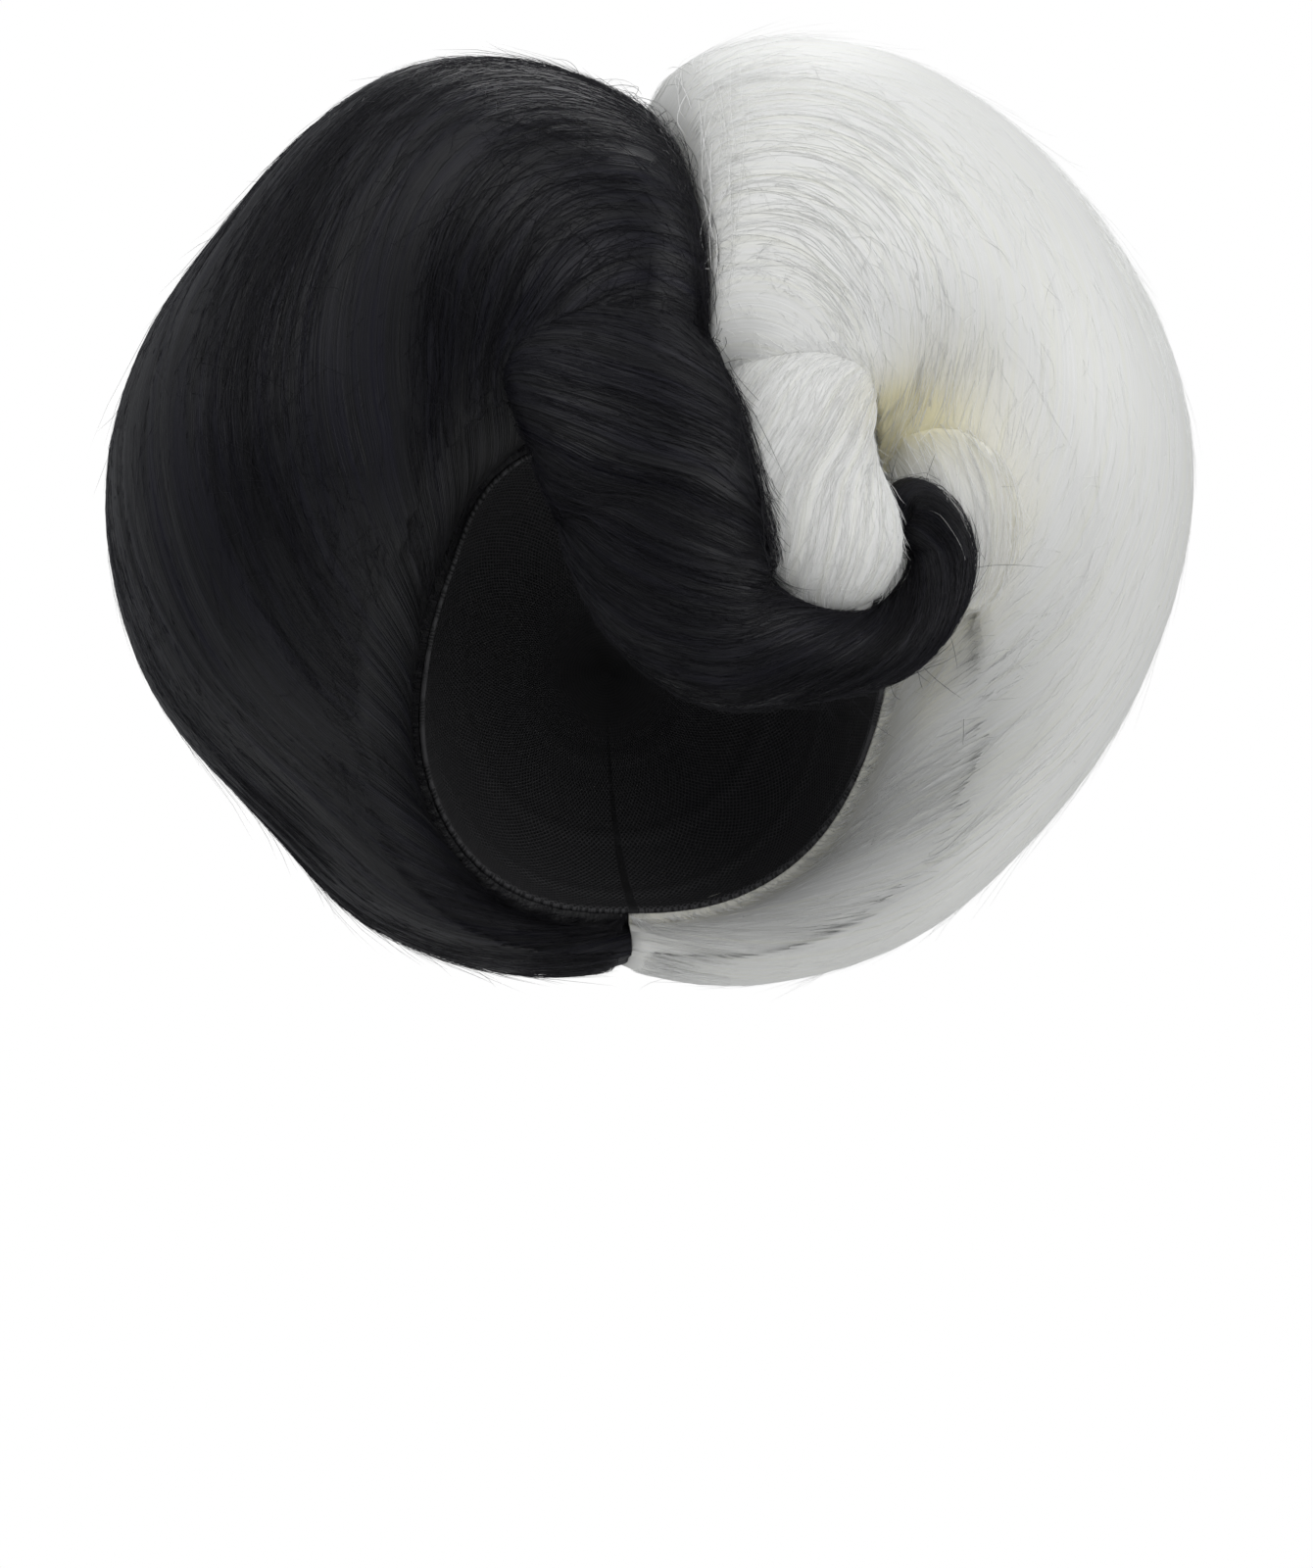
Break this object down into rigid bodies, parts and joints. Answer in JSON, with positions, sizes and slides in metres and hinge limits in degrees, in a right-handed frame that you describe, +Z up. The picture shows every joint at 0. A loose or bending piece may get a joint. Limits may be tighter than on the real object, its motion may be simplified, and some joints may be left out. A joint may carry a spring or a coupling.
{
  "type": "beehive wig",
  "caption": "Two-tone bouffant wig for a head: net cap, a black and a white half of combed-out hair, and forelocks that sweep over the forehead.",
  "frame": {"origin": "the top of the head, inside the cap, where the wig sits", "axes": "+Z up out of the head, -Y the way the face looks, +X the wearer's left"},
  "size_m": [0.3593, 0.2885, 0.3154],
  "materials": {
    "black_hair": "combed synthetic hair, soft sheen",
    "white_hair": "combed synthetic hair, soft sheen",
    "cap_net": "fine stretch net"
  },
  "bodies": {
    "root": {"wig_cap": "cap_net", "black_bouffant": "black_hair", "white_bouffant": "white_hair", "black_forelock": "black_hair", "white_forelock": "white_hair", "white_temple_lock": "white_hair"}
  },
  "joints": []
}
